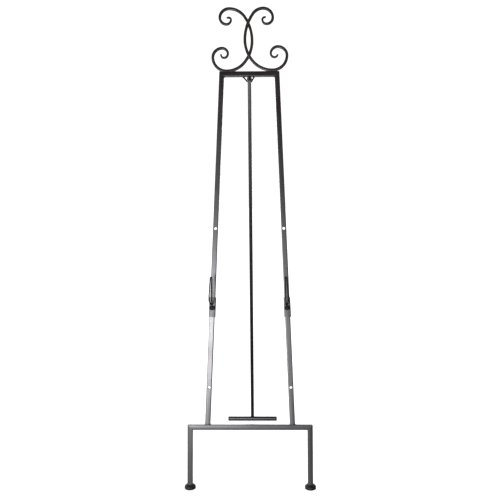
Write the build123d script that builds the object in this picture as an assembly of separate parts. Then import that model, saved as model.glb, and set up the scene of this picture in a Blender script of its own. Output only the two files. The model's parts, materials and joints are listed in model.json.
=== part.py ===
"""Folding display easel in square steel tube: a front frame that leans back, a hinged rear leg with a
T-shaped foot, two hook sleeves held by lock pins, and a forged double scroll on top.

Two sets of axes are used. Frame axes: X to the right, Y square to the leaning frame (towards the back) and
Z up along it, with the floor end at Z = 0. World axes: Z straight up from the floor, the origin on the floor
below the middle of the whole easel. in_world() turns the first into the second.
"""
from build123d import *
import math
import os

# ---- driving dimensions, mm and degrees ----
LEAN = 9.0                   # how far the front frame leans back from upright
TUBE = 16.0                  # square tube of the front frame
WALL = 1.5
BASE_WIDTH = 384.0           # outside of the two base legs
BASE_TOP = 194.0             # top face of the base crossbar, along the frame
LEG_END = 5.0                # cut end of a base leg, inside its rubber foot
FRAME_TOP = 1288.0           # top face of the top bar, along the frame
UPRIGHT_X_BASE = 130.0       # centre of an upright where it stands on the crossbar
UPRIGHT_X_TOP = 86.0         # and at the height of FRAME_TOP
HOLE_LEVELS = (306.5, 551.5, 796.5)
HOOK_LEVEL = HOLE_LEVELS[1]  # the hole that the hook sleeves are pinned at
HOLE_D = 9.0

FOOT_D = 34.0
FOOT_HEIGHT = 12.5
FOOT_RIM = 8.5               # height of a rubber foot's straight side
FOOT_SHOULDER = (15.0, 10.9) # a point half way up its domed top: radius, height
FOOT_COLLAR_D = 24.0
FOOT_CHAMFER = 1.5

REAR_TUBE = 12.0
REAR_FOOT_Y = 590.0          # rear foot bar behind the line of the front feet
REAR_BAR_D = 16.0
REAR_BAR_LENGTH = 188.0
PLUG_LIP = 2.0
PLUG_DEPTH = 14.0
PLUG_CHAMFER = 0.8

HINGE_DROP = 6.6             # hinge axis below the top bar
HINGE_BACK = 2.0             # and behind the middle of the frame
HINGE_PIN_D = 5.0
RUNNING_GAP = 0.05           # radial clearance of a pin that something turns or slides on
LUG_WIDTH = 8.6
LUG_RADIUS = 5.0
LEG_CUT_BACK = 3.5           # front and back walls of the rear leg start this far below the hinge
RIVET_HEAD_D = 9.0
RIVET_HEAD = 1.6
RIVET_CHAMFER = 1.0
RIVET_GAP = 0.15

STOP_ROD_D = 4.5
STOP_ENDS = (-18.5, 14.5)    # where the stop loop meets the top bar, across the easel
STOP_HALF = 6.5              # half the loop's straight run behind the leg
STOP_BELOW_HINGE = 10.0       # the leg rests on the loop this far down from the hinge
STOP_GAP = 0.3
STOP_END_BACK = 5.0          # the loop's ends are welded on this far behind the middle of the bar

SLEEVE = 20.4                # outside of a hook sleeve
SLEEVE_BORE = 16.4
SLEEVE_HEIGHT = 61.0
SLEEVE_MID = 2.0             # middle of the sleeve above its pin hole

HOOK_ROD_D = 4.0
HOOK_ROOT_UP = 9.0           # root of the hook above the pin
HOOK_BOTTOM_UP = 24.0        # its front corner above the pin: the arms rise to the front
HOOK_REACH = 78.0            # front strands ahead of the middle of the upright
HOOK_TIP_UP = 94.0
HOOK_ROOT_HALF = 2.3         # half the spacing of the two strands, at the root
HOOK_WIDE_HALF = 3.8         # where they are furthest apart
HOOK_WIDE_UP = 40.0
HOOK_TIP_HALF = 2.2
HOOK_SHIFT = -2.5            # both hooks sit a little to the left of their sleeve's middle
HOOK_BEND = 12.0
HOOK_FRONT_RAKE = 2.0        # the lowest front corner is this much short of the full reach
BEND_SLACK = 0.02            # the two tip bends stop this short of touching

PIN_COLLAR_D = 13.0
PIN_COLLAR = 3.0
PIN_TAIL = 3.0               # the pin sticks out behind the sleeve
PIN_TAIL_CHAMFER = 1.2
PIN_COLLAR_CHAMFER = 0.5
RING_ROD_D = 3.0
RING_WIDTH = 18.0
RING_HEIGHT = 14.0
RING_SUNK = 0.6              # depth of the ring's seat in the collar

SCROLL_WIDTH = 9.4           # bar seen from the front
SCROLL_DEPTH = 8.0           # bar front to back
# Each scroll starts upright at its belly, at (x, height above the top bar), and winds both ways in tangent
# arcs of (radius, degrees) that tighten towards the curls.
SCROLL_LEFT = {
    "belly": (8.7, 98.2),
    "up": ((139.4, 34), (58.6, 56), (28.8, 90), (21, 90), (14, 90), (7.4, 138)),
    "down": ((107, 40), (71.8, 50), (43.2, 90), (29.2, 90), (18, 90), (12.6, 90), (9, 105)),
}
SCROLL_RIGHT = {
    "belly": (-13.7, 99.4),
    "up": ((149.3, 34), (38.2, 56), (30.2, 90), (19.5, 90), (13.2, 90), (8, 112)),
    "down": ((104.2, 40), (80.3, 50), (45.5, 90), (28.5, 90), (22, 90), (11.5, 90), (10.2, 82)),
}

# ---- worked out from them ----
HALF = TUBE / 2
LEG_X = BASE_WIDTH / 2 - HALF
CROSSBAR_MID = BASE_TOP - HALF
TOP_BAR_MID = FRAME_TOP - HALF
UPRIGHT_SLOPE = (UPRIGHT_X_TOP - UPRIGHT_X_BASE) / (FRAME_TOP - BASE_TOP)
HINGE_UP = FRAME_TOP - TUBE - HINGE_DROP
BACK_EDGE = REAR_FOOT_Y + REAR_BAR_D / 2
UP = Vector(0, 0, 1)
ACROSS = Vector(1, 0, 0)


def lean(point):
    """A point in frame axes, given in axes that are upright but still start at the front feet."""
    return point.rotate(Axis.X, -LEAN)


HINGE = lean(Vector(0, HINGE_BACK, HINGE_UP))
REAR_FOOT = Vector(0, REAR_FOOT_Y, REAR_BAR_D / 2)
REAR_LEG_LENGTH = (REAR_FOOT - HINGE).length
REAR_LEG_ANGLE = math.degrees(math.atan2(REAR_FOOT.Y - HINGE.Y, HINGE.Z - REAR_FOOT.Z))
FOOT_Y = lean(Vector(0, 0, LEG_END)).Y
FRONT_EDGE = FOOT_Y - FOOT_D / 2
TO_ORIGIN = Location((0, -(FRONT_EDGE + BACK_EDGE) / 2, 0))


def in_world(part):
    return part.moved(Location((0, 0, 0), (-LEAN, 0, 0))).moved(TO_ORIGIN)


def upright_x(height):
    return UPRIGHT_X_BASE + (height - BASE_TOP) * UPRIGHT_SLOPE


def upright_direction(side):
    return Vector(side * UPRIGHT_SLOPE, 0, 1).normalized()


def on_upright(side, height):
    """Axes that stand on an upright's centre line: Z along the upright, Y to the back."""
    origin = (side * upright_x(height), 0, height)
    along = upright_direction(side)
    return Plane(origin=origin, x_dir=along.cross(Vector(0, -1, 0)), z_dir=along).location


def square_tube(start, end, size, start_cut=None, end_cut=None):
    """A square tube from start to end, each end cut by a plane whose normal points out of the tube."""
    along = (end - start).normalized()
    profile = Plane(origin=start - along * size, x_dir=Vector(0, 1, 0), z_dir=along)
    section = Rectangle(size, size) - Rectangle(size - 2 * WALL, size - 2 * WALL)
    tube = extrude(profile * section, amount=(end - start).length + 2 * size)
    for point, normal in ((start, start_cut or along * -1), (end, end_cut or along)):
        tube = split(tube, bisect_by=Plane(origin=point, z_dir=normal), keep=Keep.BOTTOM)
    return tube


def mitre(first, second):
    return (first + second).normalized()


def cross_hole(tube, side, height):
    """Drill a tube of the frame from front to back."""
    drill = Cylinder(HOLE_D / 2, 2 * SLEEVE, rotation=(90, 0, 0))
    return tube - drill.moved(on_upright(side, height))


def base_leg(side):
    foot = Vector(side * LEG_X, 0, LEG_END)
    corner = Vector(side * LEG_X, 0, CROSSBAR_MID)
    return square_tube(foot, corner, TUBE, end_cut=mitre(UP, ACROSS * -side))


def base_crossbar():
    left = Vector(-LEG_X, 0, CROSSBAR_MID)
    right = Vector(LEG_X, 0, CROSSBAR_MID)
    return square_tube(left, right, TUBE, mitre(UP, ACROSS) * -1, mitre(ACROSS, UP * -1))


def upright(side):
    bottom = Vector(side * upright_x(BASE_TOP), 0, BASE_TOP)
    corner = Vector(side * upright_x(TOP_BAR_MID), 0, TOP_BAR_MID)
    tube = square_tube(bottom, corner, TUBE, UP * -1, mitre(upright_direction(side), ACROSS * -side))
    # the sloping tube is sawn flat where it stands on the crossbar
    for height in HOLE_LEVELS:
        tube = cross_hole(tube, side, height)
    return tube


def top_bar():
    left = Vector(-upright_x(TOP_BAR_MID), 0, TOP_BAR_MID)
    right = Vector(upright_x(TOP_BAR_MID), 0, TOP_BAR_MID)
    left_cut = mitre(upright_direction(-1), ACROSS) * -1
    right_cut = mitre(ACROSS, upright_direction(1) * -1)
    return square_tube(left, right, TUBE, left_cut, right_cut)


def winding(start, heading, turn, arcs):
    """Tangent arcs from start, in the XZ plane. turn is 1 to the left and -1 to the right."""
    edges = []
    point = start
    for radius, degrees in arcs:
        centre = point + heading.rotate(Axis.Y, -90 * turn) * radius
        middle = centre + (point - centre).rotate(Axis.Y, -turn * degrees / 2)
        end = centre + (point - centre).rotate(Axis.Y, -turn * degrees)
        edges.append(ThreePointArc(point, middle, end))
        heading = heading.rotate(Axis.Y, -turn * degrees)
        point = end
    return edges


def scroll(shape, turn, layer):
    """One double-ended scroll of flat bar, in the front (-1) or back (1) half of the frame's depth."""
    x, height = shape["belly"]
    belly = Vector(x, layer * SCROLL_DEPTH / 2, FRAME_TOP + height)
    section = Rectangle(SCROLL_WIDTH, SCROLL_DEPTH)
    halves = []
    for heading, way, arcs in ((UP, turn, shape["up"]), (UP * -1, -turn, shape["down"])):
        path = Wire(winding(belly, heading, way, arcs))
        start = Plane(origin=belly, x_dir=ACROSS, z_dir=heading)
        halves.append(sweep(start * section, path=path))
    bar = halves[0] + halves[1]
    room = Box(BASE_WIDTH, TUBE, TUBE).moved(Location((0, 0, TOP_BAR_MID)))
    return bar - room


def rubber_foot(side):
    """A domed rubber tip: flat under, straight at its side, with a square pocket for the leaning leg."""
    rim = FOOT_D / 2
    outline = Polyline((0, 0), (rim - FOOT_CHAMFER, 0), (rim, FOOT_CHAMFER), (rim, FOOT_RIM))
    dome = ThreePointArc((rim, FOOT_RIM), FOOT_SHOULDER, (FOOT_COLLAR_D / 2, FOOT_HEIGHT))
    closing = Polyline((FOOT_COLLAR_D / 2, FOOT_HEIGHT), (0, FOOT_HEIGHT), (0, 0))
    half_section = make_face(Plane.XZ * Curve([outline, dome, closing]))
    tip = revolve(half_section, Axis.Z).moved(Location((side * LEG_X, FOOT_Y, 0)))
    start = Vector(side * LEG_X, 0, LEG_END)
    leg = Box(TUBE, TUBE, 4 * FOOT_HEIGHT, align=(Align.CENTER, Align.CENTER, Align.MIN))
    leg = leg.moved(Location(tuple(start))).moved(Location((0, 0, 0), (-LEAN, 0, 0)))
    return (tip - leg).moved(TO_ORIGIN)


def hook_sleeve(side):
    section = Rectangle(SLEEVE, SLEEVE) - Rectangle(SLEEVE_BORE, SLEEVE_BORE)
    sleeve = extrude(section, amount=SLEEVE_HEIGHT / 2, both=True)
    sleeve = sleeve.moved(on_upright(side, HOOK_LEVEL + SLEEVE_MID))
    return cross_hole(sleeve, side, HOOK_LEVEL)


def hook(side):
    """A hairpin of round rod: two strands run forward from the sleeve, turn up and meet at the tip."""
    face = -SLEEVE / 2

    def strand(way):
        return [
            (HOOK_SHIFT + way * HOOK_ROOT_HALF, face, HOOK_ROOT_UP),
            (HOOK_SHIFT + way * HOOK_WIDE_HALF, -HOOK_REACH + HOOK_FRONT_RAKE, HOOK_BOTTOM_UP),
            (HOOK_SHIFT + way * HOOK_WIDE_HALF, -HOOK_REACH, HOOK_WIDE_UP),
            (HOOK_SHIFT + way * HOOK_TIP_HALF, -HOOK_REACH, HOOK_TIP_UP),
        ]

    points = strand(-1) + strand(1)[::-1]
    tip_bend = HOOK_TIP_HALF - BEND_SLACK
    radii = [HOOK_BEND, HOOK_BEND, tip_bend, tip_bend, HOOK_BEND, HOOK_BEND]
    path = FilletPolyline(*points, radius=radii)
    section = Plane(origin=path @ 0, z_dir=path % 0) * Circle(HOOK_ROD_D / 2)
    rod = sweep(section, path=path)
    rod = split(rod, bisect_by=Plane(origin=(0, face, 0), z_dir=(0, 1, 0)), keep=Keep.BOTTOM)
    return rod.moved(on_upright(side, HOOK_LEVEL))


def pull_ring():
    """An oval ring of round rod, flat against the pin's collar."""
    back = -SLEEVE / 2 - PIN_COLLAR + RING_SUNK
    middle = Plane(origin=(0, back - RING_ROD_D / 2, 0), x_dir=(1, 0, 0), z_dir=(0, -1, 0))
    track = middle * SlotOverall(RING_WIDTH - RING_ROD_D, RING_HEIGHT - RING_ROD_D)
    path = track.wire()
    section = Plane(origin=path @ 0, z_dir=path % 0) * Circle(RING_ROD_D / 2)
    return sweep(section, path=path)


def lock_pin():
    """A round pin through the sleeve and the upright, with a collar that seats on the sleeve."""
    face = -SLEEVE / 2
    shank_length = SLEEVE + PIN_TAIL
    shank = Cylinder(HOLE_D / 2 - RUNNING_GAP, shank_length, rotation=(90, 0, 0))
    shank = shank.moved(Location((0, face + shank_length / 2, 0)))
    shank = chamfer(shank.edges().sort_by(Axis.Y)[-1], PIN_TAIL_CHAMFER)
    collar = Cylinder(PIN_COLLAR_D / 2, PIN_COLLAR, rotation=(90, 0, 0))
    collar = collar.moved(Location((0, face - PIN_COLLAR / 2, 0)))
    collar = chamfer(collar.edges().sort_by(Axis.Y)[0], PIN_COLLAR_CHAMFER)
    return shank + collar - pull_ring()


def hinge_lug():
    """The tongue under the top bar that the rear leg's two cheeks turn on."""
    height = HINGE_DROP
    shank = Box(LUG_WIDTH, 2 * LUG_RADIUS, height, align=(Align.CENTER, Align.CENTER, Align.MIN))
    nose = Cylinder(LUG_RADIUS, LUG_WIDTH, rotation=(0, 90, 0))
    bore = Cylinder(HINGE_PIN_D / 2, 2 * LUG_WIDTH, rotation=(0, 90, 0))
    return (shank + nose - bore).moved(Location((0, HINGE_BACK, HINGE_UP)))


def hinge_rivet():
    outer = REAR_TUBE / 2 + RIVET_GAP
    pin = Cylinder(HINGE_PIN_D / 2, 2 * outer, rotation=(0, 90, 0))
    for side in (-1, 1):
        head = Cylinder(RIVET_HEAD_D / 2, RIVET_HEAD, rotation=(0, 90, 0))
        head = head.moved(Location((side * (outer + RIVET_HEAD / 2), 0, 0)))
        rim = head.edges().sort_by(Axis.X)[-1 if side > 0 else 0]
        pin += chamfer(rim, RIVET_CHAMFER)
    return pin.moved(Location((0, HINGE_BACK, HINGE_UP)))


def leg_stop_loop():
    """A loop of rod under the top bar, behind the rear leg, that stops the leg as it swings out."""
    opening = math.radians(LEAN + REAR_LEG_ANGLE)
    clear = REAR_TUBE / 2 + STOP_GAP + STOP_ROD_D / 2
    low_y = HINGE_BACK + STOP_BELOW_HINGE * math.sin(opening) + clear * math.cos(opening)
    low_z = HINGE_UP - STOP_BELOW_HINGE * math.cos(opening) + clear * math.sin(opening)
    top = FRAME_TOP - TUBE
    left, right = STOP_ENDS
    points = [
        (left, STOP_END_BACK, top),
        (-STOP_HALF, low_y, low_z),
        (STOP_HALF, low_y, low_z),
        (right, STOP_END_BACK, top),
    ]
    path = FilletPolyline(*points, radius=STOP_ROD_D)
    section = Plane(origin=path @ 0, z_dir=path % 0) * Circle(STOP_ROD_D / 2)
    loop = sweep(section, path=path)
    return split(loop, bisect_by=Plane(origin=(0, 0, top), z_dir=UP), keep=Keep.BOTTOM)


def on_rear_leg(part):
    """From axes on the hinge, with Z up along the rear leg, to world axes."""
    return part.moved(Location(tuple(HINGE), (REAR_LEG_ANGLE, 0, 0))).moved(TO_ORIGIN)


def rear_leg():
    """The rear leg: rounded cheeks at the hinge, and coped onto the round foot bar."""
    foot = Vector(0, 0, -REAR_LEG_LENGTH)
    half = REAR_TUBE / 2
    tube = square_tube(foot, Vector(0, 0, half), REAR_TUBE)
    # cheeks rounded about the hinge
    crown = Box(2 * REAR_TUBE, 2 * REAR_TUBE, half, align=(Align.CENTER, Align.CENTER, Align.MIN))
    tube -= crown - Cylinder(half, 4 * REAR_TUBE, rotation=(0, 90, 0))
    # front and back walls cut away so that the tongue has room
    inside = REAR_TUBE - 2 * WALL
    cut_height = half + LEG_CUT_BACK
    window = Box(inside, 2 * REAR_TUBE, cut_height, align=(Align.CENTER, Align.CENTER, Align.MIN))
    tube -= window.moved(Location((0, 0, -LEG_CUT_BACK)))
    tube -= Cylinder(HINGE_PIN_D / 2 + RUNNING_GAP, 2 * REAR_TUBE, rotation=(0, 90, 0))
    bar = Cylinder(REAR_BAR_D / 2, REAR_BAR_LENGTH, rotation=(0, 90, 0))
    tube -= bar.moved(Location(tuple(foot)))
    return on_rear_leg(tube)


def rear_foot_bar():
    length = REAR_BAR_LENGTH - 2 * PLUG_LIP
    bar = Cylinder(REAR_BAR_D / 2, length, rotation=(0, 90, 0))
    bar -= Cylinder(REAR_BAR_D / 2 - WALL, 2 * length, rotation=(0, 90, 0))
    return bar.moved(Location(tuple(REAR_FOOT))).moved(TO_ORIGIN)


def rear_foot_plug(side):
    """A plastic plug: a thin lip as wide as the bar, and a stem pushed into it."""
    lip = Cylinder(REAR_BAR_D / 2, PLUG_LIP, rotation=(0, 90, 0))
    lip = lip.moved(Location((side * (REAR_BAR_LENGTH - PLUG_LIP) / 2, 0, 0)))
    rim = lip.edges().sort_by(Axis.X)[-1 if side > 0 else 0]
    lip = chamfer(rim, PLUG_CHAMFER)
    stem = Cylinder(REAR_BAR_D / 2 - WALL, PLUG_DEPTH, rotation=(0, 90, 0))
    stem = stem.moved(Location((side * (REAR_BAR_LENGTH / 2 - PLUG_LIP - PLUG_DEPTH / 2), 0, 0)))
    return (lip + stem).moved(Location(tuple(REAR_FOOT))).moved(TO_ORIGIN)


def build():
    nodes = {
        "base_crossbar": in_world(base_crossbar()),
        "top_bar": in_world(top_bar()),
        "scroll_left": in_world(scroll(SCROLL_LEFT, 1, 1)),
        "scroll_right": in_world(scroll(SCROLL_RIGHT, -1, -1)),
        "hinge_lug": in_world(hinge_lug()),
        "hinge_rivet": in_world(hinge_rivet()),
        "leg_stop_loop": in_world(leg_stop_loop()),
        "rear_leg": rear_leg(),
        "rear_foot_bar": rear_foot_bar(),
    }
    for name, side in (("left", -1), ("right", 1)):
        pinned = on_upright(side, HOOK_LEVEL)
        nodes["base_leg_" + name] = in_world(base_leg(side))
        nodes["upright_" + name] = in_world(upright(side))
        nodes["foot_" + name] = rubber_foot(side)
        nodes["hook_sleeve_" + name] = in_world(hook_sleeve(side))
        nodes["hook_" + name] = in_world(hook(side))
        nodes["lock_pin_" + name] = in_world(lock_pin().moved(pinned))
        nodes["pull_ring_" + name] = in_world(pull_ring().moved(pinned))
        nodes["rear_foot_plug_" + name] = rear_foot_plug(side)
    return nodes


os.makedirs("parts", exist_ok=True)
for node, shape in build().items():
    export_step(shape, "parts/" + node + ".step")
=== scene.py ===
"""Looks for the display easel: rounded tube, forged scrolls, bent-rod hooks, weld beads and powder coat."""
import json
import math
import bmesh
import bpy
from mathutils import Matrix, Vector


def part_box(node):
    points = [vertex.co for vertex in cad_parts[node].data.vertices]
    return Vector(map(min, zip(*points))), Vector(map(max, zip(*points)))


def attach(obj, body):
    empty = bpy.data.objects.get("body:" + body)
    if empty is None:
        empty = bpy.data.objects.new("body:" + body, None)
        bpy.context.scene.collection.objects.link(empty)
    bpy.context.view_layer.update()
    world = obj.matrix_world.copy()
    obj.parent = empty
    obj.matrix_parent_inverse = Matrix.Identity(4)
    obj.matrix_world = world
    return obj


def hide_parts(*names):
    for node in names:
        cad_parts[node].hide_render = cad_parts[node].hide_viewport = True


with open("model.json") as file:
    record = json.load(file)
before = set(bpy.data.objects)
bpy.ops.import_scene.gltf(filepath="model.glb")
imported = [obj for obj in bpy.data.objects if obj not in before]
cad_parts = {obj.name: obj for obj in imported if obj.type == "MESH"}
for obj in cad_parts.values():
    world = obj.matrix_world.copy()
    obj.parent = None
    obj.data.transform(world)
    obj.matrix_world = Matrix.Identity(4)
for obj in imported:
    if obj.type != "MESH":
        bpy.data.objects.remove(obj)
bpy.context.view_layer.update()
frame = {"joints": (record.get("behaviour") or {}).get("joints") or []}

MM = 0.001

# ---- the easel's own axes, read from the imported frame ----
LEG_END = 5.0                # a base leg's cut end, up the frame from the floor, in mm
X = Vector((1, 0, 0))
Y = Vector((0, 1, 0))
UP = Vector((0, 0, 1))
BACK = -Vector(next(j["axis"] for j in frame["joints"] if j["name"] == "left_pin_pull"))
ALONG = X.cross(BACK)
foot_low, foot_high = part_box("foot_left")
FEET_Y = (foot_low.y + foot_high.y) / 2 - LEG_END * MM * ALONG.y
HINGE = Vector(next(j["pos_m"] for j in frame["joints"] if j["name"] == "rear_leg_fold"))
bar_low, bar_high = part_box("rear_foot_bar")
REAR_FOOT = Vector((0, (bar_low.y + bar_high.y) / 2, (bar_high.z - bar_low.z) / 2))

# ---- driving dimensions, mm ----
TUBE = 16.0
WALL = 1.5
TUBE_CORNER = 1.9
SURFACE_GAP = 0.02           # round parts stay this much inside the facets of the CAD
BASE_WIDTH = 384.0
BASE_TOP = 194.0
FRAME_TOP = 1288.0
UPRIGHT_X_BASE = 130.0
UPRIGHT_X_TOP = 86.0
HOLE_LEVELS = (306.5, 551.5, 796.5)
HOOK_LEVEL = HOLE_LEVELS[1]
HOLE_D = 9.0
REAR_TUBE = 12.0
REAR_TUBE_CORNER = 1.6
REAR_BAR_D = 16.0
LEG_CUT_BACK = 3.5
HINGE_PIN_D = 5.0
SLEEVE = 20.4
SLEEVE_BORE = 16.4
SLEEVE_CORNER = 2.2
SLEEVE_HEIGHT = 61.0
SLEEVE_MID = 2.0
SCROLL_WIDTH = 9.4
SCROLL_DEPTH = 8.0
SCROLL_CORNER = 1.9
SCROLL_LEFT = {
    "belly": (8.7, 98.2),
    "up": ((139.4, 34), (58.6, 56), (28.8, 90), (21, 90), (14, 90), (7.4, 138)),
    "down": ((107, 40), (71.8, 50), (43.2, 90), (29.2, 90), (18, 90), (12.6, 90), (9, 105)),
}
SCROLL_RIGHT = {
    "belly": (-13.7, 99.4),
    "up": ((149.3, 34), (38.2, 56), (30.2, 90), (19.5, 90), (13.2, 90), (8, 112)),
    "down": ((104.2, 40), (80.3, 50), (45.5, 90), (28.5, 90), (22, 90), (11.5, 90), (10.2, 82)),
}

HALF = TUBE / 2
LEG_X = BASE_WIDTH / 2 - HALF
CROSSBAR_MID = BASE_TOP - HALF
TOP_BAR_MID = FRAME_TOP - HALF
UPRIGHT_SLOPE = (UPRIGHT_X_TOP - UPRIGHT_X_BASE) / (FRAME_TOP - BASE_TOP)


def upright_x(height):
    return UPRIGHT_X_BASE + (height - BASE_TOP) * UPRIGHT_SLOPE


def axes(origin, x_axis, y_axis, z_axis):
    """A matrix from local millimetres to the row frame's metres."""
    matrix = Matrix((x_axis, y_axis, z_axis)).transposed().to_4x4() @ Matrix.Scale(MM, 4)
    matrix.translation = origin
    return matrix


IN_FRAME = axes(Vector((0, FEET_Y, 0)), X, BACK, ALONG)
REAR_ALONG = (HINGE - REAR_FOOT).normalized()
ON_REAR_LEG = axes(HINGE, X, REAR_ALONG.cross(X), REAR_ALONG)
REAR_LEG_LENGTH = (HINGE - REAR_FOOT).length / MM
ON_REAR_FOOT = axes(REAR_FOOT, X, Y, UP)


def on_upright(side, height):
    """Axes on an upright's centre line: Z along the upright, Y to the back."""
    along = Vector((side * UPRIGHT_SLOPE, 0, 1)).normalized()
    across = along.cross(-Y)
    local = Matrix((across, Y, along)).transposed().to_4x4()
    local.translation = Vector((side * upright_x(height), 0, height))
    return IN_FRAME @ local


# ---- meshes ----
def mesh_object(name, build, matrix):
    """Makes an object from a function that fills a bmesh in local millimetres."""
    bm = bmesh.new()
    bm.verts.layers.float.new("edge")
    build(bm)
    bmesh.ops.transform(bm, matrix=matrix, verts=bm.verts)
    bmesh.ops.recalc_face_normals(bm, faces=bm.faces)
    mesh = bpy.data.meshes.new(name)
    bm.to_mesh(mesh)
    bm.free()
    piece = bpy.data.objects.new(name, mesh)
    bpy.context.scene.collection.objects.link(piece)
    return piece


def rounded_square(size, corner, depth=None, steps=5):
    """Points (x, y, edge) round a rectangle with arced corners. edge is 1 in the middle of a corner."""
    half_x = size / 2 - corner
    half_y = (depth or size) / 2 - corner
    points = []
    for quarter in range(4):
        sign_x = 1 if quarter in (0, 3) else -1
        sign_y = 1 if quarter in (0, 1) else -1
        for step in range(steps + 1):
            angle = math.radians(90 * quarter + 90 * step / steps)
            x = sign_x * half_x + corner * math.cos(angle)
            y = sign_y * half_y + corner * math.sin(angle)
            points.append((x, y, math.sin(math.pi * step / steps)))
    return points


def circle(radius, steps):
    turn = 2 * math.pi / steps
    return [(radius * math.cos(turn * i), radius * math.sin(turn * i), 0.0) for i in range(steps)]


def add_ring(bm, places, edges=None):
    layer = bm.verts.layers.float["edge"]
    ring = [bm.verts.new(place) for place in places]
    for vert, edge in zip(ring, edges or [0.0] * len(ring)):
        vert[layer] = edge
    return ring


def bridge(bm, first, second, smooth=True):
    count = len(first)
    for i in range(count):
        face = bm.faces.new((first[i], first[(i + 1) % count], second[(i + 1) % count], second[i]))
        face.smooth = smooth


def tube_between(bm, start, end, size, corner, wall, start_cut=None, end_cut=None):
    """A rounded square tube, hollow, with each end cut by the plane through it with that normal."""
    along = (end - start).normalized()
    side_x = Y.cross(along)
    rings = []
    for inset in (0.0, wall):
        outline = rounded_square(size - 2 * inset, max(corner - inset, 0.4))
        for point, cut in ((start, start_cut or along), (end, end_cut or along)):
            places = []
            for x, y, _ in outline:
                base = point + side_x * x + Y * y
                places.append(base + along * ((point - base).dot(cut) / along.dot(cut)))
            rings.append(add_ring(bm, places, [edge for _, _, edge in outline]))
    outer_start, outer_end, inner_start, inner_end = rings
    bridge(bm, outer_start, outer_end)
    bridge(bm, inner_end, inner_start)
    bridge(bm, inner_start, outer_start, smooth=False)
    bridge(bm, outer_end, inner_end, smooth=False)


def sweep(bm, path, frames, sections, closed=False):
    """Joins one section per point of the path. frames gives the two side directions at each point."""
    rings = []
    for point, (side_a, side_b), section in zip(path, frames, sections):
        places = [point + side_a * a + side_b * b for a, b, _ in section]
        rings.append(add_ring(bm, places, [edge for _, _, edge in section]))
    for first, second in zip(rings, rings[1:]):
        bridge(bm, first, second)
    if closed:
        bridge(bm, rings[-1], rings[0])
        return
    for ring in (rings[0], rings[-1]):
        bm.faces.new(ring)


def rolling_frames(path, up):
    """Side directions along a path in space that don't twist."""
    frames = []
    side = up
    for i, point in enumerate(path):
        ahead = path[min(i + 1, len(path) - 1)] - path[max(i - 1, 0)]
        ahead.normalize()
        side = (side - ahead * side.dot(ahead)).normalized()
        frames.append((side, ahead.cross(side)))
    return frames


def rounded_path(points, radii, step=1.0):
    """Straight runs between the points, with an arc of the given radius at each inner one."""
    points = [Vector(p) for p in points]
    path = [points[0]]
    for before, corner, after, radius in zip(points, points[1:], points[2:], radii):
        to_before = (before - corner).normalized()
        to_after = (after - corner).normalized()
        half = to_before.angle(to_after) / 2
        centre = corner + (to_before + to_after).normalized() * (radius / math.sin(half))
        start = corner + to_before * (radius / math.tan(half)) - centre
        turn = math.pi - 2 * half
        axis = start.cross(to_before * -1).normalized()
        count = max(4, math.ceil(turn * radius / step))
        for i in range(count + 1):
            path.append(centre + Matrix.Rotation(turn * i / count, 3, axis) @ start)
    path.append(points[-1])
    return path


def lathe(bm, profile, axis, up, steps=48):
    """Turns (radius, height) points round axis. A radius of 0 closes the shape."""
    across = axis.cross(up)
    last = None
    for radius, height in profile:
        centre = axis * height
        if radius == 0:
            ring = [bm.verts.new(centre)]
        else:
            ring = add_ring(bm, [centre + up * a + across * b for a, b, _ in circle(radius, steps)])
        if last is not None:
            if len(last) == 1:
                for i in range(steps):
                    bm.faces.new((last[0], ring[i], ring[(i + 1) % steps])).smooth = True
            elif len(ring) == 1:
                for i in range(steps):
                    bm.faces.new((last[i], last[(i + 1) % steps], ring[0])).smooth = True
            else:
                bridge(bm, last, ring)
        last = ring


def arc_profile(centre, radius, start, end, steps=8):
    """Points of an arc for a lathe, from start to end degrees."""
    points = []
    for i in range(steps + 1):
        angle = math.radians(start + (end - start) * i / steps)
        points.append((centre[0] + radius * math.cos(angle), centre[1] + radius * math.sin(angle)))
    return points


def cut(piece, name, build, matrix):
    """Takes away from piece the solid that build makes."""
    tool = mesh_object("cutter_" + name, build, matrix)
    modifier = piece.modifiers.new("cut", "BOOLEAN")
    modifier.object = tool
    modifier.operation = "DIFFERENCE"
    modifier.solver = "EXACT"
    bpy.context.view_layer.update()
    evaluated = piece.evaluated_get(bpy.context.evaluated_depsgraph_get())
    mesh = bpy.data.meshes.new_from_object(evaluated)
    piece.modifiers.clear()
    piece.data = mesh
    bpy.data.objects.remove(tool)


def drill(radius, length, axis, up):
    def build(bm):
        half = length / 2
        lathe(bm, ((0, -half), (radius, -half), (radius, half), (0, half)), axis, up, 40)
    return build


def block(low, high):
    def build(bm):
        bmesh.ops.create_cube(bm, size=1.0)
        middle = (Vector(low) + Vector(high)) / 2
        size = Vector(high) - Vector(low)
        for vert in bm.verts:
            vert.co = middle + Vector(a * b for a, b in zip(vert.co, size))
    return build


def shade(piece, material, body, replaced=()):
    """Finishes a piece: smooth shading kept sharp at real edges, its material and body, and hides the CAD
    nodes it replaces.
    """
    mesh = piece.data
    mesh.materials.clear()
    mesh.materials.append(material)
    for polygon in mesh.polygons:
        polygon.use_smooth = True
    mesh.set_sharp_from_angle(angle=math.radians(35))
    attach(piece, body)
    if replaced:
        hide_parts(*replaced)
    return piece


# ---- materials ----
def new_material(name, roughness, **sockets):
    material = bpy.data.materials.new(name)
    material.use_nodes = True
    tree = material.node_tree
    shader = tree.nodes["Principled BSDF"]
    for socket, value in sockets.items():
        shader.inputs[socket.replace("_", " ")].default_value = value
    shader.inputs["Roughness"].default_value = roughness
    return material, tree, shader


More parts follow.
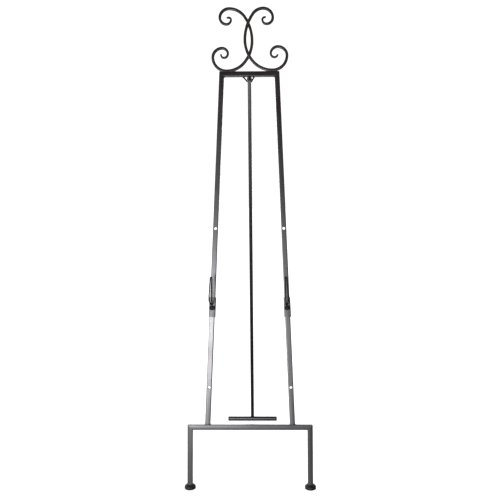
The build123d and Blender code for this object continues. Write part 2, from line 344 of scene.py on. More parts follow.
def noise(tree, scale, detail=4.0, stretch=(1, 1, 1)):
    """A noise texture in the row frame, scale in features per metre."""
    place = tree.nodes.new("ShaderNodeTexCoord")
    mapping = tree.nodes.new("ShaderNodeMapping")
    mapping.inputs["Scale"].default_value = stretch
    texture = tree.nodes.new("ShaderNodeTexNoise")
    texture.inputs["Scale"].default_value = scale
    texture.inputs["Detail"].default_value = detail
    tree.links.new(place.outputs["Object"], mapping.inputs["Vector"])
    tree.links.new(mapping.outputs["Vector"], texture.inputs["Vector"])
    return texture.outputs["Fac"]


def ramp(tree, value, stops):
    node = tree.nodes.new("ShaderNodeValToRGB")
    elements = node.color_ramp.elements
    elements[0].position, elements[0].color = stops[0][0], (*stops[0][1], 1)
    elements[1].position, elements[1].color = stops[-1][0], (*stops[-1][1], 1)
    for position, colour in stops[1:-1]:
        elements.new(position).color = (*colour, 1)
    tree.links.new(value, node.inputs["Fac"])
    return node.outputs["Color"]


def span(tree, value, low, high, to_low, to_high):
    node = tree.nodes.new("ShaderNodeMapRange")
    for socket, number in zip(("From Min", "From Max", "To Min", "To Max"), (low, high, to_low, to_high)):
        node.inputs[socket].default_value = number
    tree.links.new(value, node.inputs["Value"])
    return node.outputs["Result"]


def math_node(tree, operation, first, second):
    node = tree.nodes.new("ShaderNodeMath")
    node.operation = operation
    for socket, value in zip(node.inputs, (first, second)):
        if isinstance(value, (int, float)):
            socket.default_value = value
        else:
            tree.links.new(value, socket)
    return node.outputs[0]


def mixed(tree, factor, first, second):
    node = tree.nodes.new("ShaderNodeMix")
    node.data_type = "RGBA"
    tree.links.new(factor, node.inputs["Factor"])
    for socket, value in ((node.inputs[6], first), (node.inputs[7], second)):
        if isinstance(value, tuple):
            socket.default_value = (*value, 1)
        else:
            tree.links.new(value, socket)
    return node.outputs[2]


def bumps(tree, shader, layers):
    """Stacks bump nodes: (height, strength, distance in metres)."""
    last = None
    for height, strength, distance in layers:
        node = tree.nodes.new("ShaderNodeBump")
        node.inputs["Strength"].default_value = strength
        node.inputs["Distance"].default_value = distance
        tree.links.new(height, node.inputs["Height"])
        if last is not None:
            tree.links.new(last, node.inputs["Normal"])
        last = node.outputs["Normal"]
    tree.links.new(last, shader.inputs["Normal"])


def powder_coat(name, dark, light, roughness, shine, peel, hammered, highlight_strength, highlight_colour=(0.16, 0.115, 0.075)):
    """Satin powder coat: orange peel, faint mottling, and a painted highlight of lighter bronze in patches
    along the rounded corners.
    """
    material, tree, shader = new_material(name, roughness, Specular_IOR_Level=shine)
    mottle = ramp(tree, noise(tree, 22, 5), ((0.32, dark), (0.7, light)))
    edge = tree.nodes.new("ShaderNodeAttribute")
    edge.attribute_name = "edge"
    patches = span(tree, noise(tree, 45, 6), 0.42, 0.66, 0.0, 1.0)
    # painted highlight: the rounded corners are lightened towards bronze, in noise patches
    edge_highlight = math_node(tree, "MULTIPLY", math_node(tree, "POWER", edge.outputs["Fac"], 1.6), patches)
    edge_highlight = math_node(tree, "MULTIPLY", edge_highlight, highlight_strength)
    tree.links.new(mixed(tree, edge_highlight, mottle, highlight_colour), shader.inputs["Base Color"])
    smudge = span(tree, noise(tree, 9, 5), 0.3, 0.7, roughness - 0.04, roughness + 0.05)
    grit = span(tree, noise(tree, 900, 2), 0.3, 0.7, -0.02, 0.02)
    tree.links.new(math_node(tree, "ADD", smudge, grit), shader.inputs["Roughness"])
    bumps(tree, shader, ((noise(tree, 95, 1.5), hammered, 0.0006), (noise(tree, 520, 2.0), peel, 0.00012)))
    return material


def rubber(name, colour, dusty):
    """Moulded rubber: matt, finely pitted, dusty in patches."""
    material, tree, shader = new_material(name, 0.55, Specular_IOR_Level=0.3)
    dust = span(tree, noise(tree, 70, 6), 0.45, 0.75, 0.0, dusty)
    tree.links.new(mixed(tree, dust, colour, (0.05, 0.048, 0.046)), shader.inputs["Base Color"])
    tree.links.new(span(tree, noise(tree, 160, 4), 0.3, 0.7, 0.45, 0.66), shader.inputs["Roughness"])
    bumps(tree, shader, ((noise(tree, 1300, 3), 0.25, 0.0001), (noise(tree, 120, 2), 0.2, 0.0003)))
    return material


def weld_metal(name, dark, light, shine):
    """Painted weld bead: the same coat, pooled and a little glossier."""
    material, tree, shader = new_material(name, 0.33, Specular_IOR_Level=shine)
    tree.links.new(ramp(tree, noise(tree, 130, 4), ((0.35, dark), (0.7, light))), shader.inputs["Base Color"])
    tree.links.new(span(tree, noise(tree, 300, 3), 0.3, 0.7, 0.28, 0.42), shader.inputs["Roughness"])
    bumps(tree, shader, ((noise(tree, 420, 3), 0.4, 0.0003),))
    return material


upright_coat = powder_coat(
    "upright_coat", (0.0062, 0.0050, 0.0044), (0.013, 0.0105, 0.0094),
    roughness=0.29, shine=0.5, peel=0.15, hammered=0.06, highlight_strength=0.3,
)
base_coat = powder_coat(
    "base_coat", (0.0075, 0.0068, 0.0066), (0.015, 0.0135, 0.0132),
    roughness=0.33, shine=0.34, peel=0.18, hammered=0.08, highlight_strength=0.35,
)
sleeve_coat = powder_coat(
    "sleeve_coat", (0.010, 0.0088, 0.008), (0.020, 0.017, 0.015),
    roughness=0.38, shine=0.4, peel=0.3, hammered=0.2, highlight_strength=0.5,
)
scroll_coat = powder_coat(
    "scroll_coat", (0.0062, 0.0046, 0.0036), (0.016, 0.0115, 0.009),
    roughness=0.32, shine=0.5, peel=0.14, hammered=0.30, highlight_strength=0.3,
)
rear_coat = powder_coat(
    "rear_coat", (0.006, 0.0055, 0.0052), (0.012, 0.011, 0.0105),
    roughness=0.27, shine=0.5, peel=0.12, hammered=0.06, highlight_strength=0.2,
)
black_coat = powder_coat(
    "black_coat", (0.003, 0.003, 0.003), (0.006, 0.0056, 0.0052),
    roughness=0.5, shine=0.1, peel=0.2, hammered=0.15, highlight_strength=0.10,
)
foot_rubber = rubber("foot_rubber", (0.005, 0.005, 0.005), dusty=0.2)
plug_plastic = rubber("plug_plastic", (0.006, 0.006, 0.006), dusty=0.1)
bead_coat = weld_metal("bead_coat", (0.006, 0.005, 0.0046), (0.015, 0.0125, 0.011), shine=0.4)
dark_bead = weld_metal("dark_bead", (0.003, 0.003, 0.003), (0.008, 0.0075, 0.007), shine=0.2)


# ---- square tube ----
def frame_tube(name, start, end, coat, start_cut=None, end_cut=None, holes=None):
    start, end = Vector((start[0], 0, start[1])), Vector((end[0], 0, end[1]))
    piece = mesh_object(
        name + "_tube",
        lambda bm: tube_between(bm, start, end, TUBE, TUBE_CORNER, WALL, start_cut, end_cut),
        IN_FRAME,
    )
    for side, height in holes or ():
        cut(piece, name, drill(HOLE_D / 2, 2 * TUBE, Y, X), on_upright(side, height))
    return shade(piece, coat, "front_frame", (name,))


CORNERS = {"left": -1, "right": 1}
for label, side in CORNERS.items():
    mitre = (UP - X * side).normalized()
    leg_x = side * LEG_X
    frame_tube("base_leg_" + label, (leg_x, LEG_END), (leg_x, CROSSBAR_MID), base_coat, end_cut=mitre)
    slope = Vector((side * UPRIGHT_SLOPE, 0, 1)).normalized()
    top_mitre = (slope - X * side).normalized()
    frame_tube(
        "upright_" + label,
        (side * upright_x(BASE_TOP), BASE_TOP),
        (side * upright_x(TOP_BAR_MID), TOP_BAR_MID),
        upright_coat,
        start_cut=UP,
        end_cut=top_mitre,
        holes=[(side, height) for height in HOLE_LEVELS],
    )
frame_tube("base_crossbar", (-LEG_X, CROSSBAR_MID), (LEG_X, CROSSBAR_MID), base_coat, (UP + X), (X - UP))
top_left = (Vector((-UPRIGHT_SLOPE, 0, 1)).normalized() + X).normalized()
top_right = (X - Vector((UPRIGHT_SLOPE, 0, 1)).normalized()).normalized()
top_x = upright_x(TOP_BAR_MID)
frame_tube("top_bar", (-top_x, TOP_BAR_MID), (top_x, TOP_BAR_MID), upright_coat, top_left, top_right)


# ---- scrolls ----
def scroll_half(belly, heading, turn, arcs, step=2.0):
    """Points, side directions and distances along tangent arcs in the XZ plane."""
    point, travelled = belly, 0.0
    samples = []
    for radius, degrees in arcs:
        side = Vector((-heading.z, 0, heading.x)) * turn
        centre = point + side * radius
        sweep_angle = math.radians(degrees)
        count = max(6, math.ceil(sweep_angle * radius / step))
        for i in range(count):
            turned = Matrix.Rotation(-turn * sweep_angle * i / count, 3, "Y")
            samples.append((centre + turned @ (point - centre), turned @ side, travelled))
            travelled += sweep_angle * radius / count
        whole = Matrix.Rotation(-turn * sweep_angle, 3, "Y")
        point, heading = centre + whole @ (point - centre), whole @ heading
    samples.append((point, whole @ side, travelled))
    return samples


TAPER = 95.0                 # length of the drawn-down end of a scroll
TIP_SHARE = 0.62             # its width at the very end, as a share of the bar's


def belly_of(shape, layer):
    x, height = shape["belly"]
    return Vector((x, layer * SCROLL_DEPTH / 2, FRAME_TOP + height))


def scroll(name, shape, turn, layer):
    belly = belly_of(shape, layer)
    up = scroll_half(belly, UP, turn, shape["up"])
    down = scroll_half(belly, -UP, -turn, shape["down"])
    samples = []
    for half, way in ((down[::-1], -1), (up[1:], 1)):
        total = max(travelled for _, _, travelled in half)
        for point, side, travelled in half:
            left = total - travelled
            fullness = min(1.0, TIP_SHARE + (1 - TIP_SHARE) * math.sin(min(1.0, left / TAPER) * math.pi / 2))
            samples.append((point, side, way * travelled, fullness))

    def build(bm):
        path, frames, sections = [], [], []
        for point, side, travelled, fullness in samples:
            # hammer marks: the bar swells and thins by a few tenths of a millimetre
            dent = 1 - 0.018 * (1 + math.sin(travelled * 0.41) * math.sin(travelled * 0.173 + 1.0))
            width = SCROLL_WIDTH * fullness * dent
            depth = SCROLL_DEPTH * (0.35 + 0.65 * fullness)
            path.append(point)
            frames.append((side, Y))
            sections.append(rounded_square(width, SCROLL_CORNER * fullness, depth, 4))
        sweep(bm, path, frames, sections)

    piece = mesh_object(name + "_bar", build, IN_FRAME)
    cut(piece, name, block((-BASE_WIDTH, -TUBE, FRAME_TOP - TUBE), (BASE_WIDTH, TUBE, FRAME_TOP)), IN_FRAME)
    return shade(piece, scroll_coat, "front_frame", (name,))


scroll("scroll_left", SCROLL_LEFT, 1, 1)
scroll("scroll_right", SCROLL_RIGHT, -1, -1)


# ---- hooks, sleeves and lock pins ----
HOOK_ROD_D = 4.0
HOOK_ROOT_UP = 9.0
HOOK_BOTTOM_UP = 24.0
HOOK_REACH = 78.0
HOOK_TIP_UP = 94.0
HOOK_ROOT_HALF = 2.3
HOOK_WIDE_HALF = 3.8
HOOK_WIDE_UP = 40.0
HOOK_TIP_HALF = 2.2
HOOK_SHIFT = -2.5
HOOK_BEND = 12.0
HOOK_FRONT_RAKE = 2.0        # the front corner is this much short of the full reach
BEND_SLACK = 0.02
PIN_COLLAR_D = 13.0
PIN_COLLAR = 3.0
PIN_TAIL = 3.0
RUNNING_GAP = 0.05
RING_ROD_D = 3.0
RING_WIDTH = 18.0
RING_HEIGHT = 14.0
RING_SUNK = 0.6


def rod(name, points, radii, diameter, matrix, up):
    def build(bm):
        path = rounded_path(points, radii)
        section = circle(diameter / 2, 20)
        sweep(bm, path, rolling_frames(path, up), [section] * len(path))
    return mesh_object(name, build, matrix)


def hook_points():
    face = -SLEEVE / 2

    def strand(way):
        return [
            (HOOK_SHIFT + way * HOOK_ROOT_HALF, face, HOOK_ROOT_UP),
            (HOOK_SHIFT + way * HOOK_WIDE_HALF, -HOOK_REACH + HOOK_FRONT_RAKE, HOOK_BOTTOM_UP),
            (HOOK_SHIFT + way * HOOK_WIDE_HALF, -HOOK_REACH, HOOK_WIDE_UP),
            (HOOK_SHIFT + way * HOOK_TIP_HALF, -HOOK_REACH, HOOK_TIP_UP),
        ]

    return strand(-1) + strand(1)[::-1]


def hook_sleeve(label, side):
    low = Vector((0, 0, SLEEVE_MID - SLEEVE_HEIGHT / 2))
    high = Vector((0, 0, SLEEVE_MID + SLEEVE_HEIGHT / 2))
    wall = (SLEEVE - SLEEVE_BORE) / 2
    piece = mesh_object(
        "hook_sleeve_" + label + "_collar",
        lambda bm: tube_between(bm, low, high, SLEEVE, SLEEVE_CORNER, wall),
        on_upright(side, HOOK_LEVEL),
    )
    cut(piece, label, drill(HOLE_D / 2, 2 * SLEEVE, Y, X), on_upright(side, HOOK_LEVEL))
    return shade(piece, sleeve_coat, "front_frame", ("hook_sleeve_" + label,))


def lock_pin(label, side):
    face = -SLEEVE / 2
    radius = HOLE_D / 2 - RUNNING_GAP
    collar = PIN_COLLAR_D / 2
    tail = SLEEVE / 2 + PIN_TAIL
    front = face - PIN_COLLAR
    profile = [(0, front), (collar - 0.7, front), (collar - 0.2, front + 0.2)]
    profile += [(collar, front + 0.7), (collar, face - 0.3), (collar - 0.3, face), (radius, face)]
    profile += [(radius, tail - 1.2), (radius - 0.4, tail - 0.35), (radius - 1.2, tail), (0, tail)]
    body = label + "_lock_pin"
    matrix = on_upright(side, HOOK_LEVEL)
    piece = mesh_object("lock_pin_" + label + "_turned", lambda bm: lathe(bm, profile, Y, X), matrix)
    shade(piece, black_coat, body, ("lock_pin_" + label,))

    def ring(bm):
        middle = front + RING_SUNK - RING_ROD_D / 2
        bend = (RING_HEIGHT - RING_ROD_D) / 2
        straight = (RING_WIDTH - RING_ROD_D) / 2 - bend
        steps = 20
        path = []
        for way in (1, -1):
            for i in range(steps + 1):
                angle = math.pi * (i / steps - way / 2)
                path.append(Vector((bend * math.cos(angle) + way * straight, middle, bend * math.sin(angle))))
        frames = []
        for i, point in enumerate(path):
            ahead = (path[(i + 1) % len(path)] - path[i - 1]).normalized()
            frames.append((Y, ahead.cross(Y)))
        sweep(bm, path, frames, [circle(RING_ROD_D / 2, 18)] * len(path), closed=True)

    piece = mesh_object("pull_ring_" + label + "_rod", ring, matrix)
    shade(piece, black_coat, body, ("pull_ring_" + label,))


for label, side in CORNERS.items():
    hook_sleeve(label, side)
    lock_pin(label, side)
    tip = HOOK_TIP_HALF - BEND_SLACK
    radii = (HOOK_BEND, HOOK_BEND, tip, tip, HOOK_BEND, HOOK_BEND)
    piece = rod("hook_" + label + "_rod", hook_points(), radii, HOOK_ROD_D, on_upright(side, HOOK_LEVEL), X)
    shade(piece, black_coat, "front_frame", ("hook_" + label,))


# ---- feet ----
FOOT_D = 34.0
FOOT_HEIGHT = 12.5
FOOT_EDGE = 1.5              # radius of its lower edge
LEG_SOCKET = 60.0            # length of the tool that cuts the pocket for the leg


def rubber_foot(label, side):
    rim = FOOT_D / 2 - SURFACE_GAP
    # the sole with its groove, the rounded lower edge, the groove round the rim, then the shoulder
    profile = [(0, 0), (rim - 4.5, 0), (rim - 4.2, 0.5), (rim - 3.4, 0.5), (rim - 3.1, 0)]
    profile += arc_profile((rim - FOOT_EDGE, FOOT_EDGE), FOOT_EDGE, -90, 0, 6)
    profile += [(rim, 4.4), (rim - 0.35, 4.7), (rim - 0.35, 5.2), (rim, 5.5), (rim, 7.6)]
    profile += [(rim - 0.15, 8.3), (rim - 0.6, 8.9), (rim - 1.3, 9.6), (rim - 2.3, 10.4), (rim - 3.4, 11.2)]
    profile += [(rim - 4.3, 11.8), (rim - 4.7, 12.3), (rim - 5.2, FOOT_HEIGHT), (0, FOOT_HEIGHT)]
    low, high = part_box("foot_" + label)
    at = axes(Vector(((low.x + high.x) / 2, (low.y + high.y) / 2, 0)), X, Y, UP)
    piece = mesh_object("foot_" + label + "_tip", lambda bm: lathe(bm, profile, UP, X, 64), at)
    low_corner = (side * LEG_X - HALF, -HALF, LEG_END)
    cut(piece, label, block(low_corner, (side * LEG_X + HALF, HALF, LEG_END + LEG_SOCKET)), IN_FRAME)
    return shade(piece, foot_rubber, "front_frame", ("foot_" + label,))


for label, side in CORNERS.items():
    rubber_foot(label, side)


# ---- rear leg ----
PLUG_LIP = 2.0               # how far an end plug stands out of its bar


def rear_leg():
    half = REAR_TUBE / 2
    foot = Vector((0, 0, -REAR_LEG_LENGTH))
    piece = mesh_object(
        "rear_leg_tube",
        lambda bm: tube_between(bm, foot, Vector((0, 0, half)), REAR_TUBE, REAR_TUBE_CORNER, WALL),
        ON_REAR_LEG,
    )
    inside = half - WALL

    def crown(bm):
        """Everything above the hinge that is outside the rounded cheeks."""
        steps = 24
        angles = [math.pi * i / steps for i in range(steps + 1)]
        arc = [(half * math.cos(angle), half * math.sin(angle)) for angle in angles]
        outline = [(REAR_TUBE, 0), (REAR_TUBE, REAR_TUBE), (-REAR_TUBE, REAR_TUBE), (-REAR_TUBE, 0)]
        outline += arc[::-1]
        near = [bm.verts.new((-REAR_TUBE, y, z)) for y, z in outline]
        far = [bm.verts.new((REAR_TUBE, y, z)) for y, z in outline]
        bm.faces.new(near)
        bm.faces.new(far)
        bridge(bm, near, far)

    cut(piece, "crown", crown, ON_REAR_LEG)
    window = block((-inside, -REAR_TUBE, -LEG_CUT_BACK), (inside, REAR_TUBE, REAR_TUBE))
    cut(piece, "window", window, ON_REAR_LEG)
    cut(piece, "hole", drill(HINGE_PIN_D / 2 + RUNNING_GAP, 2 * REAR_TUBE, X, UP), ON_REAR_LEG)
    cut(piece, "cope", drill(REAR_BAR_D / 2, 4 * REAR_TUBE, X, UP), ON_REAR_FOOT)
    shade(piece, rear_coat, "rear_leg", ("rear_leg",))


def rear_foot():
    low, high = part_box("rear_foot_bar")
    half = (high.x - low.x) / 2 / MM
    outer = REAR_BAR_D / 2 - SURFACE_GAP
    inner = outer - WALL
    profile = [(inner, -half), (outer - 0.3, -half), (outer, -half + 0.3), (outer, half - 0.3)]
    profile += [(outer - 0.3, half), (inner, half), (inner, -half)]
    piece = mesh_object("rear_foot_bar_tube", lambda bm: lathe(bm, profile, X, UP, 64), ON_REAR_FOOT)
    shade(piece, rear_coat, "rear_leg", ("rear_foot_bar",))
    for label, side in CORNERS.items():
        # the stem inside the bar, then the domed lip
        profile = [(0, half - 14), (inner, half - 13.5), (inner, half), (outer - 0.2, half)]
        profile += [(outer, half + 0.3), (outer - 0.1, half + 0.9), (outer - 0.9, half + 1.5)]
        profile += [(outer - 3, half + 1.85), (0, half + PLUG_LIP)]
        plug = mesh_object(
            "rear_foot_plug_" + label + "_cap",
            lambda bm: lathe(bm, profile, X * side, UP, 64),
            ON_REAR_FOOT,
        )
        shade(plug, plug_plastic, "rear_leg", ("rear_foot_plug_" + label,))


rear_leg()
rear_foot()


# ---- hinge and stop ----
HINGE_DROP = 6.6
HINGE_BACK = 2.0
LUG_WIDTH = 8.6
LUG_RADIUS = 5.0
LUG_CHAMFER = 0.5
RIVET_HEAD_D = 9.0
RIVET_HEAD = 1.6
RIVET_GAP = 0.15
STOP_ROD_D = 4.5
STOP_ENDS = (-18.5, 14.5)
STOP_BELOW_HINGE = 10.0
STOP_GAP = 0.3
STOP_END_BACK = 5.0
STOP_HALF = 6.5
HINGE_UP = FRAME_TOP - TUBE - HINGE_DROP
AT_HINGE = IN_FRAME @ Matrix.Translation((0, HINGE_BACK, HINGE_UP))


def hinge():
    steps = 20
    outline = [(LUG_RADIUS, HINGE_DROP), (-LUG_RADIUS, HINGE_DROP)]
    for i in range(steps + 1):
        angle = math.pi + math.pi * i / steps
        outline.append((LUG_RADIUS * math.cos(angle), LUG_RADIUS * math.sin(angle)))

    def tongue(bm):
        half = LUG_WIDTH / 2
        rings = []
        for x, inset in (
            (-half, LUG_CHAMFER),
            (-half + LUG_CHAMFER, 0),
            (half - LUG_CHAMFER, 0),
            (half, LUG_CHAMFER),
        ):
            share = 1 - inset / LUG_RADIUS
            places = [(x, y * share, z if z == HINGE_DROP else z * share) for y, z in outline]
            rings.append([bm.verts.new(place) for place in places])
        for first, second in zip(rings, rings[1:]):
            bridge(bm, first, second)
        bm.faces.new(rings[0])
        bm.faces.new(rings[-1])

    lug = mesh_object("hinge_lug_tongue", tongue, AT_HINGE)
    cut(lug, "lug", drill(HINGE_PIN_D / 2, 3 * LUG_WIDTH, X, UP), AT_HINGE)
    shade(lug, black_coat, "front_frame", ("hinge_lug",))
    outer = REAR_TUBE / 2 + RIVET_GAP
    pin = HINGE_PIN_D / 2
    head = RIVET_HEAD_D / 2
    side = [(pin, outer), (head - 0.15, outer), (head, outer + 0.2), (head - 0.35, outer + 0.75)]
    side += [(head - 1.2, outer + 1.2), (head - 2.5, outer + 1.5), (0, outer + RIVET_HEAD)]
    profile = [(radius, -height) for radius, height in side[::-1]] + side
    rivet = mesh_object("hinge_rivet_turned", lambda bm: lathe(bm, profile, X, UP, 40), AT_HINGE)
    shade(rivet, black_coat, "front_frame", ("hinge_rivet",))


def stop_points():
    opening = math.acos(ALONG.dot(REAR_ALONG))
    clear = REAR_TUBE / 2 + STOP_GAP + STOP_ROD_D / 2
    low_y = HINGE_BACK + STOP_BELOW_HINGE * math.sin(opening) + clear * math.cos(opening)
    low_z = HINGE_UP - STOP_BELOW_HINGE * math.cos(opening) + clear * math.sin(opening)
    top = FRAME_TOP - TUBE
    ends = [(x, STOP_END_BACK, top) for x in STOP_ENDS]
    return [ends[0], (-STOP_HALF, low_y, low_z), (STOP_HALF, low_y, low_z), ends[1]]


hinge()
loop = rod("leg_stop_loop_rod", stop_points(), (STOP_ROD_D, STOP_ROD_D), STOP_ROD_D, IN_FRAME, Y)
cut(loop, "loop", block((-TUBE * 3, -TUBE, FRAME_TOP - TUBE), (TUBE * 3, TUBE, FRAME_TOP)), IN_FRAME)
shade(loop, black_coat, "front_frame", ("leg_stop_loop",))


# ---- weld beads ----
BEAD_RIPPLE = 2.2            # from one weld pool to the next, mm
BEAD_STEP = 0.45             # longest step along a bead
FACE_BEAD = 1.1              # radii of the beads: front and back of an upright's foot
SIDE_BEAD = 1.5              # its two sides, the hooks and the scrolls
CORNER_BEAD = 1.4            # inside the mitres
STOP_BEAD = 0.9
REAR_BEAD = 1.2
HOOK_WELD_HALF = 4.2
SCROLL_WELD_HALF = 15.0


def weld(name, points, radius, matrix, body, coat=None):
    """A bead laid along a line: a half-sunk rod whose radius ripples once for each weld pool."""
    points = [Vector(p) for p in points]
    path, widths = [], []
    for first, second in zip(points, points[1:]):
        length = (second - first).length
        count = max(3, math.ceil(length / BEAD_STEP))
        for i in range(count):
            path.append(first.lerp(second, i / count))
    path.append(points[-1])
    total = sum((b - a).length for a, b in zip(path, path[1:]))
    travelled = 0.0
    for i, point in enumerate(path):
        if i:
            travelled += (point - path[i - 1]).length
        ends = min(1.0, 0.45 + min(travelled, total - travelled) / (2.2 * radius))
        pools = 0.12 * math.sin(2 * math.pi * travelled / BEAD_RIPPLE)
        wobble = 1 + pools + 0.06 * math.sin(travelled * 0.9 + radius)
        widths.append(radius * ends * wobble)

    def build(bm):
        sections = [circle(width, 12) for width in widths]
        sweep(bm, path, rolling_frames(path, Vector((0.3, 1, 0.2))), sections)

    return shade(mesh_object(name, build, matrix), coat or bead_coat, body)


def frame_weld(name, points, radius, coat=None):
    return weld(name, points, radius, IN_FRAME, "front_frame", coat)


for label, side in CORNERS.items():
    x = side * upright_x(BASE_TOP)
    inset = HALF - 0.6
    for face, y in (("front", -inset), ("back", inset)):
        line = [(x - inset, y, BASE_TOP), (x + inset, y, BASE_TOP)]
        frame_weld(f"weld_upright_{label}_{face}", line, FACE_BEAD)
    for face, dx in (("inner", -side * HALF), ("outer", side * HALF)):
        line = [(x + dx, -inset, BASE_TOP), (x + dx, inset, BASE_TOP)]
        frame_weld(f"weld_upright_{label}_{face}", line, SIDE_BEAD)
    # inside corner of each mitre
    corner_x = side * (LEG_X - HALF)
    line = [(corner_x, -inset, BASE_TOP - TUBE), (corner_x, inset, BASE_TOP - TUBE)]
    frame_weld(f"weld_base_{label}", line, CORNER_BEAD)
    top_corner = side * (upright_x(FRAME_TOP - TUBE) - HALF)
    line = [(top_corner, -inset, FRAME_TOP - TUBE), (top_corner, inset, FRAME_TOP - TUBE)]
    frame_weld(f"weld_top_{label}", line, CORNER_BEAD)
    root = HOOK_ROOT_UP + 1.6
    ends = (HOOK_SHIFT - HOOK_WELD_HALF, HOOK_SHIFT + HOOK_WELD_HALF)
    line = [(end, -SLEEVE / 2, root) for end in ends]
    at = on_upright(side, HOOK_LEVEL)
    weld(f"weld_hook_{label}", line, SIDE_BEAD, at, "front_frame", dark_bead)


def scroll_welds(name, shape, turn, layer):
    """Beads each side of where a scroll rests on the top bar."""
    samples = scroll_half(belly_of(shape, layer), -UP, -turn, shape["down"])
    lowest = min((point for point, _, _ in samples), key=lambda point: point.z)
    y = layer * (HALF - 0.4)
    ends = (lowest.x - SCROLL_WELD_HALF, lowest.x + SCROLL_WELD_HALF)
    frame_weld(f"weld_{name}", [(x, y, FRAME_TOP) for x in ends], SIDE_BEAD)
    frame_weld(f"weld_{name}_under", [(x, 0, FRAME_TOP) for x in ends], SIDE_BEAD)


scroll_welds("scroll_left", SCROLL_LEFT, 1, 1)
scroll_welds("scroll_right", SCROLL_RIGHT, -1, -1)
STOP_WELD_RADIUS = 2.6
for label, end in zip(CORNERS, STOP_ENDS):
    top = FRAME_TOP - TUBE - 0.2
    ring = []
    for i in range(13):
        angle = i * math.pi / 6
        across, back = STOP_WELD_RADIUS * math.cos(angle), STOP_WELD_RADIUS * math.sin(angle)
        ring.append((end + across, STOP_END_BACK + back, top))
    frame_weld(f"weld_stop_{label}", ring, STOP_BEAD, dark_bead)
foot_top = -REAR_LEG_LENGTH + REAR_BAR_D / 2
for label, side in CORNERS.items():
    line = [(side * 6, y, foot_top - sag) for y, sag in ((-5.2, 1.8), (0, 0), (5.2, 1.8))]
    weld(f"weld_rear_foot_{label}", line, REAR_BEAD, ON_REAR_LEG, "rear_leg")
for label, y in (("front", -5.7), ("back", 5.7)):
    line = [(-5.6, y, foot_top - 2.3), (5.6, y, foot_top - 2.3)]
    weld(f"weld_rear_foot_{label}", line, REAR_BEAD, ON_REAR_LEG, "rear_leg")


# ---- floor, light and camera ----
def floor():
    def build(bm):
        bmesh.ops.create_grid(bm, x_segments=1, y_segments=1, size=14.0)
    piece = mesh_object("studio_floor", build, Matrix.Identity(4))
    material, tree, shader = new_material("studio_paper", 0.9, Specular_IOR_Level=0.1)
    tint = ramp(tree, noise(tree, 3, 2), ((0.3, (0.93, 0.93, 0.93)), (0.7, (0.95, 0.95, 0.95))))
    tree.links.new(tint, shader.inputs["Base Color"])
    shader.inputs["Emission Color"].default_value = (1, 1, 1, 1)
    shader.inputs["Emission Strength"].default_value = 0.35
    piece.data.materials.append(material)
    piece.visible_glossy = False


def area_light(name, at, look_at, size, size_y, power, colour):
    light = bpy.data.lights.new(name, "AREA")
    light.shape = "RECTANGLE"
    light.size, light.size_y = size, size_y
    light.energy = power
    light.color = colour
    lamp = bpy.data.objects.new(name, light)
    lamp.location = at
    lamp.rotation_euler = (Vector(look_at) - Vector(at)).to_track_quat("-Z", "Y").to_euler()
    bpy.context.scene.collection.objects.link(lamp)
    return lamp


# what the coat reflects: brightness by the height of the direction, from straight down (0) to straight up (1)
ROOM_FRONT = (
    (0.0, 0.03),
    (0.22, 0.05),
    (0.245, 0.5),
    (0.272, 4.8),
    (0.31, 4.0),
    (0.38, 0.8),
    (0.46, 1.0),
    (0.49, 2.6),
    (0.52, 5.0),
    (0.56, 2.6),
    (0.60, 1.1),
    (0.65, 0.2),
    (0.80, 0.1),
    (1.0, 0.4),
)
ROOM_BACK = (
    (0.0, 0.1),
    (0.20, 0.2),
    (0.26, 1.3),
    (0.30, 1.2),
    (0.42, 1.0),
    (0.48, 5.0),
    (0.58, 5.0),
    (0.66, 0.8),
    (1.0, 0.4),
)
ROOM_EDGE = (0.12, 0.42, 5.0, 0.4)
BRIGHTEST = 5.0


def room_stops(levels):
    """Colour stops for the room: warm overhead, cool below eye level."""
    stops = []
    for position, level in levels:
        warmth = min(1.0, max(0.0, (position - 0.56) / 0.12))
        shares = [1 + (warm - 1) * warmth for warm in (1.0, 0.86, 0.76)]
        cool = [1 + (tint - 1) * (1 - warmth) for tint in (0.98, 0.97, 1.04)]
        stops.append((position, tuple(level / BRIGHTEST * a * b for a, b in zip(shares, cool))))
    return stops


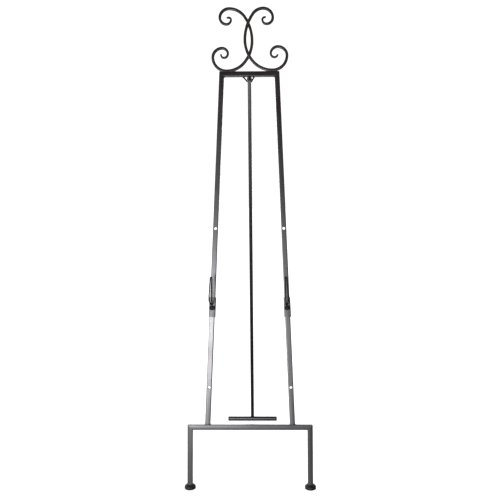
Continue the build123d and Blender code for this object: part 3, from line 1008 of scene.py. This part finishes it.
def studio():
    """White for the camera and the floor. What the coat reflects is dimmer, and dark to the right."""
    world = bpy.data.worlds.new("studio")
    bpy.context.scene.world = world
    world.use_nodes = True
    tree = world.node_tree
    tree.nodes.clear()
    place = tree.nodes.new("ShaderNodeTexCoord")
    split = tree.nodes.new("ShaderNodeSeparateXYZ")
    tree.links.new(place.outputs["Generated"], split.inputs["Vector"])
    height = span(tree, split.outputs["Z"], -1, 1, 0, 1)
    front = ramp(tree, height, room_stops(ROOM_FRONT))
    back = ramp(tree, height, room_stops(ROOM_BACK))
    room = tree.nodes.new("ShaderNodeBackground")
    facing = span(tree, split.outputs["Y"], -0.2, 0.2, 0, 1)
    tree.links.new(mixed(tree, facing, front, back), room.inputs["Color"])
    tree.links.new(span(tree, split.outputs["X"], *ROOM_EDGE), room.inputs["Strength"])
    white = tree.nodes.new("ShaderNodeBackground")
    white.inputs["Color"].default_value = (1, 1, 1, 1)
    white.inputs["Strength"].default_value = 1.15
    ray = tree.nodes.new("ShaderNodeLightPath")
    choose = tree.nodes.new("ShaderNodeMixShader")
    output = tree.nodes.new("ShaderNodeOutputWorld")
    tree.links.new(ray.outputs["Is Glossy Ray"], choose.inputs["Fac"])
    tree.links.new(white.outputs["Background"], choose.inputs[1])
    tree.links.new(room.outputs["Background"], choose.inputs[2])
    tree.links.new(choose.outputs["Shader"], output.inputs["Surface"])


CAMERA_AT = Vector((0.0365, -2.396, 0.983))
CAMERA_YAW, CAMERA_PITCH, CAMERA_ROLL = (math.radians(a) for a in (-0.92, -6.74, -0.27))
CAMERA_LENS = 51.92


def camera():
    level = math.cos(CAMERA_PITCH)
    ahead = Vector((math.sin(CAMERA_YAW) * level, math.cos(CAMERA_YAW) * level, math.sin(CAMERA_PITCH)))
    right = Vector((math.cos(CAMERA_YAW), -math.sin(CAMERA_YAW), 0))
    up = right.cross(ahead)
    turned_right = right * math.cos(CAMERA_ROLL) + up * math.sin(CAMERA_ROLL)
    turned_up = up * math.cos(CAMERA_ROLL) - right * math.sin(CAMERA_ROLL)
    data = bpy.data.cameras.new("camera")
    data.lens = CAMERA_LENS
    data.sensor_width = 36.0
    data.clip_end = 60.0
    eye = bpy.data.objects.new("camera", data)
    eye.matrix_world = Matrix((turned_right, turned_up, -ahead)).transposed().to_4x4()
    eye.location = CAMERA_AT
    bpy.context.scene.collection.objects.link(eye)
    bpy.context.scene.camera = eye


floor()
studio()
camera()
card = area_light(
    "low_front", at=(-0.55, -2.9, 0.69), look_at=(-0.13, -0.2, 0.47),
    size=0.6, size_y=0.56, power=76.0, colour=(0.955, 0.94, 1.0),
)
card.visible_diffuse = False
bpy.context.scene.view_settings.view_transform = "Standard"
